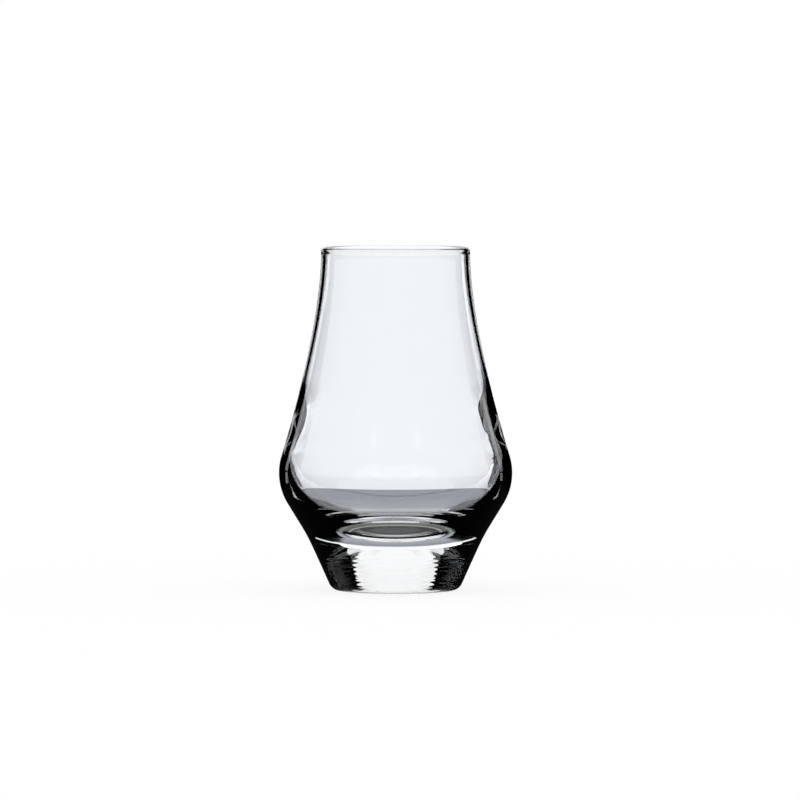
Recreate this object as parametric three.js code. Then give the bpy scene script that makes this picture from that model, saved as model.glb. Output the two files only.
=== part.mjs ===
// Spirit tasting glass: a heavy solid base, a blown bowl bedded in it and a fire-polished rim.
// Millimetres, +Z up. The origin is the centre of the flat underside, on the axis of the glass.

import * as THREE from "three";

// Overall sizes of the outside
const GLASS_HEIGHT = 97;
const RIM_DIAMETER = 42.1;
const GIRTH_DIAMETER = 66;
const GIRTH_HEIGHT = 33.2;
const FOOT_DIAMETER = 35.9;

// Shape of the outside between those sizes
const SHOULDER_RADIUS = 16.5;
const WALL_ANGLE = THREE.MathUtils.degToRad(17);
const FLANK_ANGLE = THREE.MathUtils.degToRad(31.2);
const HEEL_ANGLE = THREE.MathUtils.degToRad(24.3);
const HEEL_RADIUS = 3.2;
const RIM_PULL = 9;
const WALL_PULL = 30;
const FLANK_PULL = 12.8;
const HEEL_PULL = 17.8;

// Glass thicknesses
const RIM_WALL = 1.25;
const BEAD_WALL = 1.5;
const BEAD_HEIGHT = 2;
const THIN_WALL = 0.88;
const SWELL_WALL = 2.25;
const BELLY_WALL = 2.42;
const BOWL_FLOOR = 2.5;
const FLOOR_THICKNESS = 16;

// Shape of the chamber
const THIN_PLACE_RATIO = 0.29;
const SWELL_PLACE_RATIO = 0.135;
const BELLY_HEIGHT = 35.8;
const MOUTH_PULL = 9;
const THIN_PULL = 14;
const STEP_PULL = 3.4;
const SWELL_PULL = 4.5;
const BELLY_PULL = 4;
const BELLY_DROP = 11.2;
const FLOOR_PULL = 17.8;

// Seat of the bowl in the base
const SEAT_WIDTH = 1;
const SEAT_CLEARANCE = 0.3;

// Facets, and the distance below which two outline points are one
const ROUND_FACET_COUNT = 48;
const WALL_FACET_COUNT = 12;
const BOTTOM_FACET_COUNT = 10;
const FLANK_FACET_COUNT = 8;
const CORNER_FACET_COUNT = 5;
const SAME_POINT = 0.0001;

const rimRadius = RIM_DIAMETER / 2;
const girthRadius = GIRTH_DIAMETER / 2;
const footRadius = FOOT_DIAMETER / 2;
const rimSeam = GLASS_HEIGHT - BEAD_HEIGHT;
const mouthRadius = rimRadius - RIM_WALL;
const bellyRadius = girthRadius - BELLY_WALL;
const seatRadius = girthRadius - SEAT_WIDTH;
const bowlUnderside = FLOOR_THICKNESS - BOWL_FLOOR;

// A point on the outline: its distance from the axis and its height.
function point(radius, height) {
  return new THREE.Vector2(radius, height);
}

// The step of a given length along a wall that leans away from the axis as it rises.
function step(lean, length) {
  return point(Math.sin(lean) * length, Math.cos(lean) * length);
}

// A curve between two points, drawn out along the handle at each end.
function curve(start, startHandle, endHandle, end, facets) {
  return new THREE.CubicBezierCurve(start, startHandle, endHandle, end).getPoints(facets);
}

// An arc of an ellipse, from one angle to another.
function arc(centre, radius, height, from, to, facets) {
  const clockwise = to < from;
  return new THREE.EllipseCurve(centre.x, centre.y, radius, height, from, to, clockwise).getPoints(facets);
}

// One stretch of outline after another, without doubled points. Points next to the axis lie on it.
function outline(...stretches) {
  const merged = [];
  for (const next of stretches.flat()) {
    const onAxis = point(Math.abs(next.x) < SAME_POINT ? 0 : next.x, next.y);
    if (merged.length === 0 || merged.at(-1).distanceTo(onAxis) > SAME_POINT) {
      merged.push(onAxis);
    }
  }
  return merged;
}

// Clear glass with its own faint tint.
function clearGlass(colour) {
  return new THREE.MeshStandardMaterial({
    color: colour,
    roughness: 0.02,
    metalness: 0,
    transparent: true,
    opacity: 0.35,
  });
}

// A solid turned about the upright axis from its outline.
function turned(name, profile, material) {
  const geometry = new THREE.LatheGeometry(profile, ROUND_FACET_COUNT);
  geometry.rotateX(Math.PI / 2);
  const mesh = new THREE.Mesh(geometry, material);
  mesh.name = name;
  return mesh;
}

const shoulderCentre = point(girthRadius - SHOULDER_RADIUS, GIRTH_HEIGHT);

// Point on the round shoulder whose wall leans by the angle: above the girth if positive.
function onShoulder(angle) {
  return point(Math.cos(angle), Math.sin(angle)).multiplyScalar(SHOULDER_RADIUS).add(shoulderCentre);
}

// Rounded heel between the flat underside and the leaning flank of the base.
function heel() {
  const reach = HEEL_RADIUS * Math.tan((Math.PI / 2 - HEEL_ANGLE) / 2);
  const centre = point(footRadius - reach, HEEL_RADIUS);
  return arc(centre, HEEL_RADIUS, HEEL_RADIUS, -Math.PI / 2, -HEEL_ANGLE, CORNER_FACET_COUNT);
}

// Solid base: flat underside, heel, flank, lower half of the shoulder, flat ring and dished seat.
function base() {
  const underside = [point(0, 0)];
  const corner = heel();
  const shoulderEnd = onShoulder(-FLANK_ANGLE);
  const flank = curve(
    corner.at(-1),
    corner.at(-1).clone().add(step(HEEL_ANGLE, HEEL_PULL)),
    shoulderEnd.clone().sub(step(FLANK_ANGLE, FLANK_PULL)),
    shoulderEnd,
    FLANK_FACET_COUNT,
  );
  const shoulder = arc(shoulderCentre, SHOULDER_RADIUS, SHOULDER_RADIUS, -FLANK_ANGLE, 0, CORNER_FACET_COUNT);
  const dishDepth = GIRTH_HEIGHT - bowlUnderside + SEAT_CLEARANCE;
  const dish = arc(point(0, GIRTH_HEIGHT), seatRadius, dishDepth, 0, -Math.PI / 2, BOTTOM_FACET_COUNT);
  return turned("base", outline(underside, corner, flank, shoulder, dish), clearGlass("#eef2f4"));
}

// Outside of the bowl's wall, from the shoulder up to the seam under the rim.
function wallOutside() {
  const shoulderTop = onShoulder(WALL_ANGLE);
  return new THREE.CubicBezierCurve(
    shoulderTop,
    shoulderTop.clone().add(step(-WALL_ANGLE, WALL_PULL)),
    point(rimRadius, rimSeam - RIM_PULL),
    point(rimRadius, rimSeam),
  );
}

// Place on the inside of the bowl's wall: a share of the way up, and a thickness in from the outside.
function insideWall(ratio, thickness) {
  const rise = wallOutside().getTangent(ratio);
  const spot = wallOutside().getPoint(ratio).addScaledVector(point(-rise.y, rise.x), thickness);
  return { spot, rise };
}

// Chamber of the bowl: from the mouth down past the thin wall and its swelling to the belly and the floor.
function chamber() {
  const thin = insideWall(THIN_PLACE_RATIO, THIN_WALL);
  const swell = insideWall(SWELL_PLACE_RATIO, SWELL_WALL);
  const thinWall = curve(
    point(mouthRadius, rimSeam),
    point(mouthRadius, rimSeam - MOUTH_PULL),
    thin.spot.clone().addScaledVector(thin.rise, THIN_PULL),
    thin.spot,
    WALL_FACET_COUNT,
  );
  const swelling = curve(
    thin.spot,
    thin.spot.clone().addScaledVector(thin.rise, -STEP_PULL),
    swell.spot.clone().addScaledVector(swell.rise, STEP_PULL),
    swell.spot,
    CORNER_FACET_COUNT,
  );
  const belly = curve(
    swell.spot,
    swell.spot.clone().addScaledVector(swell.rise, -SWELL_PULL),
    point(bellyRadius, BELLY_HEIGHT + BELLY_PULL),
    point(bellyRadius, BELLY_HEIGHT),
    CORNER_FACET_COUNT,
  );
  const floor = curve(
    point(bellyRadius, BELLY_HEIGHT),
    point(bellyRadius, BELLY_HEIGHT - BELLY_DROP),
    point(FLOOR_PULL, FLOOR_THICKNESS),
    point(0, FLOOR_THICKNESS),
    BOTTOM_FACET_COUNT,
  );
  return [...thinWall, ...swelling, ...belly, ...floor];
}

// Blown bowl: round underside, flat ring, belly and wall outside, then the chamber inside.
function bowl() {
  const bottomRadius = seatRadius - SEAT_CLEARANCE;
  const bottomDepth = GIRTH_HEIGHT - bowlUnderside;
  const bottom = arc(point(0, GIRTH_HEIGHT), bottomRadius, bottomDepth, -Math.PI / 2, 0, BOTTOM_FACET_COUNT);
  const shoulder = arc(shoulderCentre, SHOULDER_RADIUS, SHOULDER_RADIUS, 0, WALL_ANGLE, CORNER_FACET_COUNT);
  const wall = wallOutside().getPoints(WALL_FACET_COUNT);
  return turned("bowl", outline(bottom, shoulder, wall, chamber()), clearGlass("#f2f5f9"));
}

// Fire-polished rim: a rounded bead, flush with the wall outside and swelling a little inside.
function rim() {
  const beadRadius = BEAD_WALL / 2;
  const beadCentre = point(rimRadius - beadRadius, GLASS_HEIGHT - beadRadius);
  const foot = [point(mouthRadius, rimSeam), point(rimRadius, rimSeam)];
  const bead = arc(beadCentre, beadRadius, beadRadius, 0, Math.PI, 2 * CORNER_FACET_COUNT);
  return turned("rim", outline(foot, bead, [foot[0]]), clearGlass("#f4f7fa"));
}

const glass = new THREE.Group();
glass.name = "spirit_tasting_glass";
glass.add(base(), bowl(), rim());

export default glass;
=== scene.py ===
import math

import bpy
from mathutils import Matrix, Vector


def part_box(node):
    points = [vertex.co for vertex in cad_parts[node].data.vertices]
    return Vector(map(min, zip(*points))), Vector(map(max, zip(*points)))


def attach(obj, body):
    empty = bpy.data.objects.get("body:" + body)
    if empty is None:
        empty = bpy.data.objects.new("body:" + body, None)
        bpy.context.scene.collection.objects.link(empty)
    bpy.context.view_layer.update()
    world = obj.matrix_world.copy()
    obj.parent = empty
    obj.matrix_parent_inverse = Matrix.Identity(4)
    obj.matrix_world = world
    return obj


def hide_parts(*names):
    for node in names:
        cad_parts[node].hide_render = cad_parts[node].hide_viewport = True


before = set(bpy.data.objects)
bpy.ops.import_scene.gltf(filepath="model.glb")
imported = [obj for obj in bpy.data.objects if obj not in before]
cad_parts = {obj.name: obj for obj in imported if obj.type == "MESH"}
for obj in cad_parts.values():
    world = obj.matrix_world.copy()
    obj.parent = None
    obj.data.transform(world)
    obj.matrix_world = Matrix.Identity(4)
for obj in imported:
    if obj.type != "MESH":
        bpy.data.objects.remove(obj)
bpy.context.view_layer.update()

# The glass is one continuous piece of clear soda-lime glass: a heavy pressed base, a blown bowl and
# a fire-polished rim, fused hot. It is drawn as the outline that a glassmaker's mould turns, and a
# node tree turns that outline about the upright axis. It stands for all three CAD nodes.
MM = 0.001
rim_low, rim_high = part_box("rim")
_, base_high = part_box("base")
RIM_RADIUS = rim_high.x
GLASS_HEIGHT = rim_high.z
RIM_SEAM = rim_low.z
GIRTH_RADIUS = base_high.x
GIRTH_HEIGHT = base_high.z
FOOT_RADIUS = 17.95 * MM
UNDERSIDE_PULL = 1 * MM
HEEL_RADIUS = 3.2 * MM
HEEL_LEAN = math.radians(24.3)
HEEL_PULL = 17.8 * MM
FLANK_PULL = 12.8 * MM
FLANK_LEAN = math.radians(31.2)
SHOULDER_RADIUS = 16.5 * MM
WALL_LEAN = math.radians(17)
WALL_PULL = 30 * MM
RIM_PULL = 9 * MM
BEAD_WALL = 1.5 * MM
RIM_WALL = 1.25 * MM
MOUTH_PULL = 9 * MM
THIN_WALL = 0.88 * MM
THIN_PLACE = 0.29
THIN_PULL = 14 * MM
STEP_PULL = 3.4 * MM
SWELL_WALL = 2.25 * MM
SWELL_PLACE = 0.135
SWELL_PULL = 4.5 * MM
BELLY_WALL = 2.42 * MM
BELLY_HEIGHT = 35.8 * MM
BELLY_PULL = 4 * MM
BELLY_DROP = 11.2 * MM
FLOOR_HEIGHT = 16.0 * MM
FLOOR_PULL = 17.8 * MM
ROUND_BULGE = 0.5523


def arc_pull(turn, radius):
    """Handle length that makes a curve follow an arc of that turn and radius."""
    return 4 / 3 * math.tan(turn / 4) * radius


def upward(lean):
    """Direction of a wall that leans out from the axis as it rises."""
    return Vector((math.sin(lean), 0, math.cos(lean)))


def at(radius, height):
    """Place on the outline, by its distance from the axis and its height."""
    return Vector((radius, 0, height))


heel_rise = upward(HEEL_LEAN)
heel_reach = HEEL_RADIUS * math.tan((math.pi / 2 - HEEL_LEAN) / 2)
heel_pull = arc_pull(math.pi / 2 - HEEL_LEAN, HEEL_RADIUS)
heel_start = at(FOOT_RADIUS - heel_reach, 0)
heel_end = at(FOOT_RADIUS, 0) + heel_rise * heel_reach
flank_rise = upward(FLANK_LEAN)
wall_rise = upward(-WALL_LEAN)
shoulder_centre = at(GIRTH_RADIUS - SHOULDER_RADIUS, GIRTH_HEIGHT)
shoulder_low = shoulder_centre + at(math.cos(FLANK_LEAN), -math.sin(FLANK_LEAN)) * SHOULDER_RADIUS
shoulder_top = shoulder_centre + at(math.cos(WALL_LEAN), math.sin(WALL_LEAN)) * SHOULDER_RADIUS
low_pull = arc_pull(FLANK_LEAN, SHOULDER_RADIUS)
top_pull = arc_pull(WALL_LEAN, SHOULDER_RADIUS)
bead_radius = BEAD_WALL / 2
bead_height = GLASS_HEIGHT - bead_radius
bead_middle = RIM_RADIUS - bead_radius
bead_inside = RIM_RADIUS - BEAD_WALL
bead_pull = ROUND_BULGE * bead_radius
wall = [shoulder_top, shoulder_top + wall_rise * WALL_PULL,
        at(RIM_RADIUS, RIM_SEAM - RIM_PULL), at(RIM_RADIUS, RIM_SEAM)]


def inside_wall(place, thickness):
    """Point and rising direction of the chamber wall, a thickness in from a place along the outer wall."""
    halves = [low.lerp(high, place) for low, high in zip(wall, wall[1:])]
    quarters = [low.lerp(high, place) for low, high in zip(halves, halves[1:])]
    rising = (quarters[1] - quarters[0]).normalized()
    return quarters[0].lerp(quarters[1], place) + at(-rising.z, rising.x) * thickness, rising


thin, thin_rise = inside_wall(THIN_PLACE, THIN_WALL)
swell, swell_rise = inside_wall(SWELL_PLACE, SWELL_WALL)
mouth = at(RIM_RADIUS - RIM_WALL, RIM_SEAM)
belly = at(GIRTH_RADIUS - BELLY_WALL, BELLY_HEIGHT)
chamber_floor = at(0, FLOOR_HEIGHT)

# Each corner of the outline: the point, then the handles that bring the curve in and lead it on.
outline = [
    (at(0, 0), at(0, 0), at(UNDERSIDE_PULL, 0)),
    (heel_start, heel_start - at(UNDERSIDE_PULL, 0), heel_start + at(heel_pull, 0)),
    (heel_end, heel_end - heel_rise * heel_pull, heel_end + heel_rise * HEEL_PULL),
    (shoulder_low, shoulder_low - flank_rise * FLANK_PULL, shoulder_low + flank_rise * low_pull),
    (at(GIRTH_RADIUS, GIRTH_HEIGHT),
     at(GIRTH_RADIUS, GIRTH_HEIGHT - low_pull),
     at(GIRTH_RADIUS, GIRTH_HEIGHT + top_pull)),
    (shoulder_top, shoulder_top - wall_rise * top_pull, wall[1]),
    (wall[3], wall[2], wall[3] + at(0, bead_pull)),
    (at(RIM_RADIUS, bead_height),
     at(RIM_RADIUS, bead_height - bead_pull),
     at(RIM_RADIUS, bead_height + bead_pull)),
    (at(bead_middle, GLASS_HEIGHT),
     at(bead_middle + bead_pull, GLASS_HEIGHT),
     at(bead_middle - bead_pull, GLASS_HEIGHT)),
    (at(bead_inside, bead_height),
     at(bead_inside, bead_height + bead_pull),
     at(bead_inside, bead_height - bead_pull)),
    (mouth, mouth + at(0, bead_pull), mouth - at(0, MOUTH_PULL)),
    (thin, thin + thin_rise * THIN_PULL, thin - thin_rise * STEP_PULL),
    (swell, swell + swell_rise * STEP_PULL, swell - swell_rise * SWELL_PULL),
    (belly, belly + at(0, BELLY_PULL), belly - at(0, BELLY_DROP)),
    (chamber_floor, chamber_floor + at(FLOOR_PULL, 0), chamber_floor),
]
CURVE_STEPS = 15
outline_data = bpy.data.curves.new("glass_outline", "CURVE")
outline_data.dimensions = "3D"
outline_data.resolution_u = CURVE_STEPS
spline = outline_data.splines.new("BEZIER")
spline.bezier_points.add(len(outline) - 1)
for bezier_point, (place, arrive, leave) in zip(spline.bezier_points, outline):
    bezier_point.handle_left_type = "FREE"
    bezier_point.handle_right_type = "FREE"
    # The turning node lays the outline's X out from the axis and its Y down along it.
    bezier_point.co = (place.x, -place.z, 0)
    bezier_point.handle_left = (arrive.x, -arrive.z, 0)
    bezier_point.handle_right = (leave.x, -leave.z, 0)
outline_object = bpy.data.objects.new("glass_outline", outline_data)
bpy.context.scene.collection.objects.link(outline_object)

GLASS_TINT = (0.985, 0.993, 1.0)
GLASS_INDEX = 1.52
RING_PITCH = 1.27 * MM
RING_HEIGHT = 7.4 * MM
RING_SPREAD = 3 * MM
RING_FADE = 4
RING_DEPTH = 0.014 * MM
SKIN_SCALE = 160
SKIN_DETAIL = 1
SKIN_DEPTH = 0.0015 * MM
SKIN_ROUGHNESS = 0.006
glass_material = bpy.data.materials.new("clear_glass")
glass_material.use_nodes = True
glass_nodes = glass_material.node_tree.nodes
glass_links = glass_material.node_tree.links
shader = glass_nodes["Principled BSDF"]
shader.inputs["Base Color"].default_value = (*GLASS_TINT, 1)
shader.inputs["IOR"].default_value = GLASS_INDEX
shader.inputs["Transmission Weight"].default_value = 1.0


def glass_step(operation, *values):
    """One step of reckoning in the glass material, from sockets and plain numbers."""
    step = glass_nodes.new("ShaderNodeMath")
    step.operation = operation
    for socket, value in zip(step.inputs, values):
        if isinstance(value, bpy.types.NodeSocket):
            glass_links.new(value, socket)
        else:
            socket.default_value = value
    return step.outputs["Value"]


# The mould leaves fine rings round the lower flank, and the skin of the glass is never quite even.
glass_place = glass_nodes.new("ShaderNodeTexCoord")
glass_axes = glass_nodes.new("ShaderNodeSeparateXYZ")
glass_links.new(glass_place.outputs["Object"], glass_axes.inputs["Vector"])
ring_wave = glass_step("SINE", glass_step("MULTIPLY", glass_axes.outputs["Z"], 2 * math.pi / RING_PITCH))
ring_reach = glass_step("DIVIDE", glass_step("SUBTRACT", glass_axes.outputs["Z"], RING_HEIGHT), RING_SPREAD)
ring_share = glass_step("EXPONENT", glass_step("MULTIPLY", glass_step("POWER", ring_reach, RING_FADE), -1))
rings = glass_step("MULTIPLY", glass_step("MULTIPLY", ring_wave, ring_share), RING_DEPTH)
skin = glass_nodes.new("ShaderNodeTexNoise")
skin.inputs["Scale"].default_value = SKIN_SCALE
skin.inputs["Detail"].default_value = SKIN_DETAIL
glass_links.new(glass_place.outputs["Object"], skin.inputs["Vector"])
relief = glass_step("MULTIPLY_ADD", skin.outputs["Fac"], SKIN_DEPTH, rings)
bump = glass_nodes.new("ShaderNodeBump")
bump.inputs["Distance"].default_value = 1
glass_links.new(relief, bump.inputs["Height"])
glass_links.new(bump.outputs["Normal"], shader.inputs["Normal"])
glass_links.new(glass_step("MULTIPLY", skin.outputs["Fac"], SKIN_ROUGHNESS), shader.inputs["Roughness"])

# The outline is swept round a circle too small to see, and its ends are welded on the axis.
FACETS_ROUND = 400
AXIS_RADIUS = 1e-6
POLE_WELD = 1e-5
turning = bpy.data.node_groups.new("turned_glass", "GeometryNodeTree")
turning.is_modifier = True
sockets = turning.interface
sockets.new_socket("Geometry", in_out="OUTPUT", socket_type="NodeSocketGeometry")
outline_input = sockets.new_socket("Outline", in_out="INPUT", socket_type="NodeSocketObject")
round_input = sockets.new_socket("Facets Round", in_out="INPUT", socket_type="NodeSocketInt")
glass_input = sockets.new_socket("Glass", in_out="INPUT", socket_type="NodeSocketMaterial")


def tree_node(kind, **links):
    """Adds a node to the turning tree and joins each named input to a socket or gives it a value."""
    made = turning.nodes.new(kind)
    for name, source in links.items():
        socket = made.inputs[name.replace("_", " ")]
        if isinstance(source, bpy.types.NodeSocket):
            turning.links.new(source, socket)
        else:
            socket.default_value = source
    return made


given = tree_node("NodeGroupInput")
drawn = tree_node("GeometryNodeObjectInfo", Object=given.outputs["Outline"])
circle = tree_node("GeometryNodeCurvePrimitiveCircle", Resolution=given.outputs["Facets Round"],
                   Radius=AXIS_RADIUS)
level = tree_node("GeometryNodeSetCurveNormal", Curve=circle.outputs["Curve"])
level.mode = "Z_UP"
swept = tree_node("GeometryNodeCurveToMesh", Curve=level.outputs["Curve"],
                  Profile_Curve=drawn.outputs["Geometry"])
closed = tree_node("GeometryNodeMergeByDistance", Geometry=swept.outputs["Mesh"], Distance=POLE_WELD)
outward = tree_node("GeometryNodeFlipFaces", Mesh=closed.outputs["Geometry"])
smooth = tree_node("GeometryNodeSetShadeSmooth", Geometry=outward.outputs["Mesh"])
real = tree_node("GeometryNodeRealizeInstances", Geometry=smooth.outputs["Geometry"])
painted = tree_node("GeometryNodeSetMaterial", Geometry=real.outputs["Geometry"],
                    Material=given.outputs["Glass"])
tree_node("NodeGroupOutput", Geometry=painted.outputs["Geometry"])

glass = bpy.data.objects.new("tasting_glass", bpy.data.meshes.new("tasting_glass"))
bpy.context.scene.collection.objects.link(glass)
turner = glass.modifiers.new("turned_glass", "NODES")
turner.node_group = turning
turner[outline_input.identifier] = outline_object
turner[round_input.identifier] = FACETS_ROUND
turner[glass_input.identifier] = glass_material
evaluated = glass.evaluated_get(bpy.context.evaluated_depsgraph_get())
glass_mesh = bpy.data.meshes.new_from_object(evaluated)
glass.modifiers.remove(turner)
glass.data = glass_mesh
bpy.data.objects.remove(outline_object)
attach(glass, "root")
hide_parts("base", "bowl", "rim")

# The floor is a plain pale tabletop, lit from below, that looks white and keeps the soft shadow of the
# glass. Through the glass it is glossy and grey with painted shade round the foot, with glowing paper
# beyond, and under the foot's flat underside it glows as a dark disc of painted shadow with a thin
# painted bright ring. In mirror images in the glass the floor is dark.
FLOOR_SPREAD = 30
FLOOR_DROP = 0.05 * MM
SHEET_RADIUS = 60 * MM
SHEEN_ROUGHNESS = 0.15
TABLE_GLOW = 0.85
TABLE_WHITE = (0.99, 0.99, 0.99)
MIRRORED_FLOOR = (0.01, 0.01, 0.01)
# Painted shadow under the foot, a painted bright ring in it and painted shade out to the foot's edge.
UNDER_FOOT_SHADOW = (0.07, 0.07, 0.07)
FOOT_RING_HIGHLIGHT = (0.5, 0.5, 0.48)
FOOT_EDGE_SHADE = (0.14, 0.155, 0.14)
NEAR_PAPER = (0.95, 0.973, 1.006)
FAR_PAPER = (1.016, 1.04, 1.076)
UNLIT = (0, 0, 0)
floor_mesh = bpy.data.meshes.new("floor")
floor_mesh.from_pydata(
    [(-FLOOR_SPREAD, -FLOOR_SPREAD, 0), (FLOOR_SPREAD, -FLOOR_SPREAD, 0),
     (FLOOR_SPREAD, FLOOR_SPREAD, 0), (-FLOOR_SPREAD, FLOOR_SPREAD, 0)], [], [(0, 1, 2, 3)])
floor = bpy.data.objects.new("floor", floor_mesh)
floor.location.z = -FLOOR_DROP
bpy.context.scene.collection.objects.link(floor)
floor_material = bpy.data.materials.new("pale_floor")
floor_material.use_nodes = True
nodes = floor_material.node_tree.nodes
links = floor_material.node_tree.links
nodes.clear()
rays = nodes.new("ShaderNodeLightPath")
where = nodes.new("ShaderNodeTexCoord")
reach = nodes.new("ShaderNodeVectorMath")
reach.operation = "LENGTH"
links.new(where.outputs["Object"], reach.inputs[0])
zones = nodes.new("ShaderNodeMapRange")
zones.inputs["From Max"].default_value = 2 * SHEET_RADIUS
links.new(reach.outputs["Value"], zones.inputs["Value"])


def zone_tones(steps):
    """Colours of the floor by distance from the axis of the glass, in mm."""
    tone = nodes.new("ShaderNodeValToRGB")
    while len(tone.color_ramp.elements) < len(steps):
        tone.color_ramp.elements.new(1)
    for element, (reach_mm, colour) in zip(tone.color_ramp.elements, steps):
        element.position = reach_mm * MM / SHEET_RADIUS / 2
        element.color = (*colour, 1)
    links.new(zones.outputs["Result"], tone.inputs["Fac"])
    return tone.outputs["Color"]


own_light = nodes.new("ShaderNodeEmission")
# The floor's own glow seen through the glass: painted shadow under the foot, a painted bright ring, painted
# shade to the foot's edge, none out to 60 mm, then pale paper.
own_light_tones = zone_tones([
    (0, UNDER_FOOT_SHADOW), (13.5, UNDER_FOOT_SHADOW), (13.8, FOOT_RING_HIGHLIGHT), (14.2, FOOT_RING_HIGHLIGHT), (14.5, FOOT_EDGE_SHADE),
    (17, FOOT_EDGE_SHADE), (18, UNLIT), (59, UNLIT), (60, NEAR_PAPER), (115, FAR_PAPER)])
links.new(own_light_tones, own_light.inputs["Color"])
sheen = nodes.new("ShaderNodeBsdfGlossy")
sheen.inputs["Roughness"].default_value = SHEEN_ROUGHNESS
# The glossy floor is tinted grey out to 60 mm from the axis: painted shade round the foot of the glass.
sheen_tones = zone_tones([
    (17, UNLIT), (18, (0.42, 0.44, 0.46)), (30, (0.34, 0.36, 0.39)), (45, (0.30, 0.32, 0.35)),
    (59, (0.33, 0.35, 0.38)), (60, UNLIT)])
links.new(sheen_tones, sheen.inputs["Color"])
seen_through = nodes.new("ShaderNodeAddShader")
links.new(own_light.outputs["Emission"], seen_through.inputs[0])
links.new(sheen.outputs["BSDF"], seen_through.inputs[1])
tabletop = nodes.new("ShaderNodeBsdfDiffuse")
tabletop.inputs["Color"].default_value = (*TABLE_WHITE, 1)
lit_from_below = nodes.new("ShaderNodeEmission")
light_table = nodes.new("ShaderNodeMixShader")
light_table.inputs["Fac"].default_value = TABLE_GLOW
links.new(tabletop.outputs["BSDF"], light_table.inputs[1])
links.new(lit_from_below.outputs["Emission"], light_table.inputs[2])
dark = nodes.new("ShaderNodeEmission")
dark.inputs["Color"].default_value = (*MIRRORED_FLOOR, 1)
mirrored_or_not = nodes.new("ShaderNodeMixShader")
links.new(rays.outputs["Is Glossy Ray"], mirrored_or_not.inputs["Fac"])
links.new(light_table.outputs["Shader"], mirrored_or_not.inputs[1])
links.new(dark.outputs["Emission"], mirrored_or_not.inputs[2])
through_or_not = nodes.new("ShaderNodeMixShader")
links.new(rays.outputs["Is Transmission Ray"], through_or_not.inputs["Fac"])
links.new(mirrored_or_not.outputs["Shader"], through_or_not.inputs[1])
links.new(seen_through.outputs["Shader"], through_or_not.inputs[2])
floor_output = nodes.new("ShaderNodeOutputMaterial")
links.new(through_or_not.outputs["Shader"], floor_output.inputs["Surface"])
floor_mesh.materials.append(floor_material)

# The camera looks almost level, from a little above the rim, through a long lens. Its aim puts the
# axis and the underside of the glass on their column and row of the picture.
FRAME_PIXELS = 800
GIRTH_PIXELS = 233.4
AXIS_COLUMN = 395.6
BASE_ROW = 590.3
CAMERA_DISTANCE = 2.4
CAMERA_HEIGHT = 0.168
CAMERA_REACH = 100
SENSOR = 36
PIXEL = 2 * GIRTH_RADIUS / GIRTH_PIXELS
aim = Vector(((FRAME_PIXELS / 2 - AXIS_COLUMN) * PIXEL, 0, (BASE_ROW - FRAME_PIXELS / 2) * PIXEL))
camera_data = bpy.data.cameras.new("camera")
camera = bpy.data.objects.new("camera", camera_data)
bpy.context.scene.collection.objects.link(camera)
camera.location = (0, -CAMERA_DISTANCE, CAMERA_HEIGHT)
sight = aim - camera.location
camera.rotation_euler = sight.to_track_quat("-Z", "Y").to_euler()
camera_data.sensor_width = SENSOR
camera_data.lens = SENSOR * sight.length / (FRAME_PIXELS * PIXEL)
camera_data.clip_end = CAMERA_REACH
bpy.context.scene.camera = camera

# Cards of cloth and paper stand round the glass and are seen only in it: black ones draw its edges
# dark, white ones fill it with light. Their stand turns with the camera, as a turntable studio does,
# so that each side of the glass is lit alike.
GAIN_POWER = 4
BLACK = (0, 0, 0)
WHITE = (1.0, 1.0, 1.0)
stand = bpy.data.objects.new("flag_stand", None)
bpy.context.scene.collection.objects.link(stand)
turn = stand.constraints.new("LOCKED_TRACK")
turn.target = camera
turn.track_axis = "TRACK_NEGATIVE_Y"
turn.lock_axis = "LOCK_Z"


def card_finish(name, colour, side_gain=0, half_width=1):
    """A card with a plain glow of its own, which can grow towards its left and right sides."""
    finish = bpy.data.materials.new(name)
    finish.use_nodes = True
    tree = finish.node_tree
    tree.nodes.clear()
    place = tree.nodes.new("ShaderNodeTexCoord")
    split = tree.nodes.new("ShaderNodeSeparateXYZ")
    tree.links.new(place.outputs["Object"], split.inputs["Vector"])
    share = tree.nodes.new("ShaderNodeMath")
    share.operation = "DIVIDE"
    share.inputs[1].default_value = half_width * MM
    tree.links.new(split.outputs["X"], share.inputs[0])
    growth = tree.nodes.new("ShaderNodeMath")
    growth.operation = "POWER"
    growth.inputs[1].default_value = GAIN_POWER
    tree.links.new(share.outputs["Value"], growth.inputs[0])
    strength = tree.nodes.new("ShaderNodeMath")
    strength.operation = "MULTIPLY_ADD"
    strength.inputs[1].default_value = side_gain
    strength.inputs[2].default_value = 1
    tree.links.new(growth.outputs["Value"], strength.inputs[0])
    glow = tree.nodes.new("ShaderNodeEmission")
    glow.inputs["Color"].default_value = (*colour, 1)
    tree.links.new(strength.outputs["Value"], glow.inputs["Strength"])
    output = tree.nodes.new("ShaderNodeOutputMaterial")
    tree.links.new(glow.outputs["Emission"], output.inputs["Surface"])
    return finish


def hang_card(name, finish, corners, mirrored=False):
    """A flat card on the stand, seen only in the glass, from its corners in mm."""
    mesh = bpy.data.meshes.new(name)
    mesh.from_pydata([Vector(corner) * MM for corner in corners], [], [range(len(corners))])
    mesh.materials.append(finish)
    card = bpy.data.objects.new(name, mesh)
    bpy.context.scene.collection.objects.link(card)
    card.parent = stand
    card.visible_camera = False
    card.visible_diffuse = False
    card.visible_shadow = False
    card.visible_glossy = mirrored


def upright(start, end, low, high):
    """Corners of a card that stands between two places on the table."""
    return [(*start, low), (*end, low), (*end, high), (*start, high)]


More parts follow.
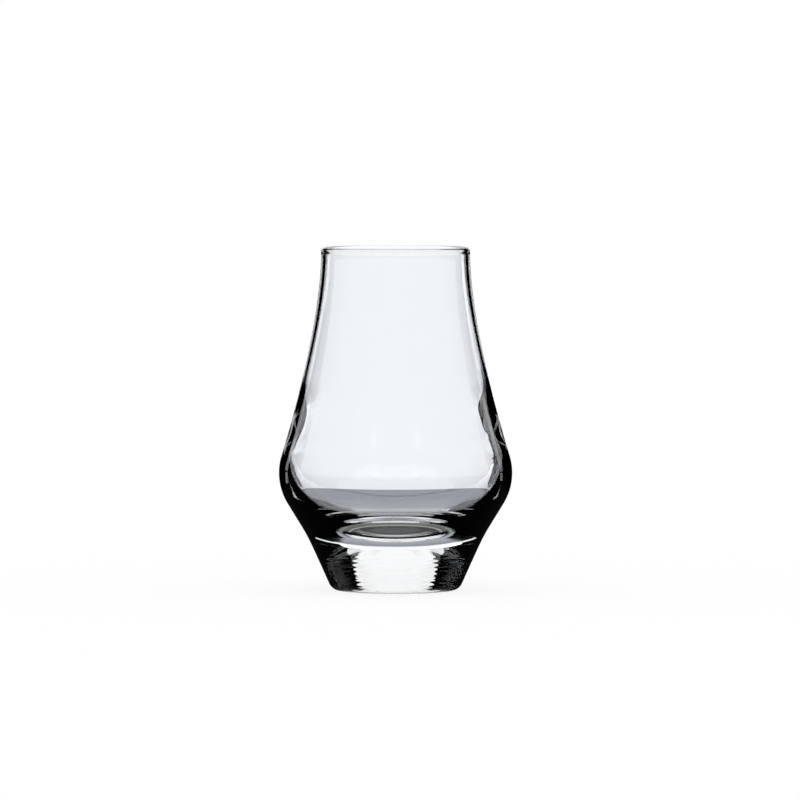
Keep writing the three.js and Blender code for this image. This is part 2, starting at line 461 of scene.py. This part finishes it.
# Two black flags stand behind the glass on each side of the line of sight, with a slot between them.
# The inner edge of the near one is cut at a slope.
FLAGS = 140
FLAG_TOP = 200
LEFT_FOOT = -67
LEFT_EDGE = -59
LEFT_CUT = (18, 50)
LEFT_SLOT = (-150, -185)
LEFT_END = -437
RIGHT_FOOT = 48
RIGHT_EDGE = 60
RIGHT_CUT = (60, 72)
RIGHT_SLOT = (193, 237)
RIGHT_END = 560
black_cloth = card_finish("black_cloth", BLACK)


def hang_flags(side, foot, edge, cut, slot, end):
    """The near and the far flag of one side, from the places of their upright edges."""
    near_end, far_start = slot
    cut_low, cut_high = cut
    near = [(foot, FLAGS, 0), (foot, FLAGS, cut_low), (edge, FLAGS, cut_high), (edge, FLAGS, FLAG_TOP),
            (near_end, FLAGS, FLAG_TOP), (near_end, FLAGS, 0)]
    far = upright((far_start, FLAGS), (end, FLAGS), 0, FLAG_TOP)
    hang_card(f"{side}_flag", black_cloth, near, mirrored=True)
    hang_card(f"{side}_far_flag", black_cloth, far, mirrored=True)


hang_flags("left", LEFT_FOOT, LEFT_EDGE, LEFT_CUT, LEFT_SLOT, LEFT_END)
hang_flags("right", RIGHT_FOOT, RIGHT_EDGE, RIGHT_CUT, RIGHT_SLOT, RIGHT_END)

# White sheets lie on the table behind the slots, and draw the pale line in the dark edges of the bowl.
CARD_LIFT = 0.5
SHEET_END = 1400
LEFT_SHEET = (-1190, -1560)
RIGHT_SHEET = (1630, 2080)
white_sheet = card_finish("white_sheet", WHITE)


def lay_card(name, finish, places, mirrored=False):
    """A card that lies just over the table, from the places of its corners in mm."""
    hang_card(name, finish, [(*place, CARD_LIFT) for place in places], mirrored)


def lay_sheet(name, slot, far_edge):
    """A white sheet that spreads out from a slot between two flags."""
    places = [(slot[0], FLAGS), (slot[1], FLAGS), (far_edge[1], SHEET_END), (far_edge[0], SHEET_END)]
    lay_card(name, white_sheet, places, mirrored=True)


lay_sheet("left_sheet", LEFT_SLOT, LEFT_SHEET)
lay_sheet("right_sheet", RIGHT_SLOT, RIGHT_SHEET)

# Behind the flags hang a white paper and a softbox over it. Black cloth stands round the rest of the
# table and is open at the top.
BACK = 235
PAPER_TOP = 100
PAPER_GAIN = 0.35
PAPER_HALF = 75
SOFTBOX_TOP = 340
SOFTBOX_GAIN = 0.12
TENT_SIDE = 136
TENT_FRONT = 300
TENT_TOP = 400
WALL_TOP = 262
back_left = (-TENT_SIDE, BACK)
back_right = (TENT_SIDE, BACK)
front_left = (-TENT_SIDE, -TENT_FRONT)
front_right = (TENT_SIDE, -TENT_FRONT)
softbox = card_finish("softbox", WHITE, SOFTBOX_GAIN, TENT_SIDE)
back_paper = card_finish("back_paper", FAR_PAPER, PAPER_GAIN, PAPER_HALF)
hang_card("softbox", softbox, upright(back_left, back_right, PAPER_TOP, SOFTBOX_TOP), mirrored=True)
hang_card("back_paper", back_paper, upright(back_left, back_right, 0, PAPER_TOP))
hang_card("back_wall", black_cloth, upright(back_left, back_right, SOFTBOX_TOP, TENT_TOP))
hang_card("left_wall", black_cloth, upright(front_left, back_left, 0, WALL_TOP))
hang_card("right_wall", black_cloth, upright(front_right, back_right, 0, WALL_TOP))
hang_card("front_wall", black_cloth, upright(front_left, front_right, 0, TENT_TOP))

# Black skirts lie beside and before the foot, and black cloth from there to the flags. A skirt is dark
# only to light that the glass has mirrored inside itself, so the glass stays clear from above.
SKIRT_INNER = 18
SKIRT_TIP = 14
SKIRT_BACK = 44
GROUND_BEND = 100
LEFT_GROUND = (-43, -59, LEFT_FOOT)
RIGHT_GROUND = (41, 49, 50)
skirt = bpy.data.materials.new("black_skirt")
skirt.use_nodes = True
skirt_nodes = skirt.node_tree.nodes
skirt_links = skirt.node_tree.links
skirt_nodes.clear()
skirt_rays = skirt_nodes.new("ShaderNodeLightPath")
skirt_clear = skirt_nodes.new("ShaderNodeBsdfTransparent")
skirt_dark = skirt_nodes.new("ShaderNodeEmission")
skirt_dark.inputs["Strength"].default_value = 0
skirt_mix = skirt_nodes.new("ShaderNodeMixShader")
skirt_end = skirt_nodes.new("ShaderNodeOutputMaterial")
skirt_links.new(skirt_rays.outputs["Glossy Depth"], skirt_mix.inputs["Fac"])
skirt_links.new(skirt_clear.outputs["BSDF"], skirt_mix.inputs[1])
skirt_links.new(skirt_dark.outputs["Emission"], skirt_mix.inputs[2])
skirt_links.new(skirt_mix.outputs["Shader"], skirt_end.inputs["Surface"])


def lay_ground(side, way, ground):
    """The skirt on one side of the foot, and the black cloth from its back edge to the flags."""
    skirt_corner, bend, flag_corner = ground
    inner = way * SKIRT_INNER
    outer = way * TENT_SIDE
    lay_card(f"{side}_ground", skirt, [
        (inner, SKIRT_TIP), (skirt_corner, SKIRT_BACK), (outer, SKIRT_BACK), (outer, -TENT_FRONT),
        (inner, -TENT_FRONT)])
    lay_card(f"{side}_far_ground", black_cloth, [
        (skirt_corner, SKIRT_BACK), (bend, GROUND_BEND), (flag_corner, FLAGS), (outer, FLAGS),
        (outer, SKIRT_BACK)])


lay_ground("left", -1, LEFT_GROUND)
lay_ground("right", 1, RIGHT_GROUND)
lay_card("front_ground", skirt, [(-SKIRT_INNER, -SKIRT_INNER), (SKIRT_INNER, -SKIRT_INNER),
                                 (SKIRT_INNER, -TENT_FRONT), (-SKIRT_INNER, -TENT_FRONT)])

# Plain white light comes from all round, as from a lit white tent. Mirror images inside the glass are
# followed only a few times, so that light trapped in it doesn't fill its dark parts.
LIGHT_BOUNCES = 32
MIRROR_BOUNCES = 4
world = bpy.data.worlds.new("white_tent")
bpy.context.scene.world = world
world.use_nodes = True
world.node_tree.nodes["Background"].inputs["Color"].default_value = (*WHITE, 1)
bpy.context.scene.view_settings.view_transform = "Standard"
bpy.context.scene.cycles.max_bounces = LIGHT_BOUNCES
bpy.context.scene.cycles.transmission_bounces = LIGHT_BOUNCES
bpy.context.scene.cycles.glossy_bounces = MIRROR_BOUNCES
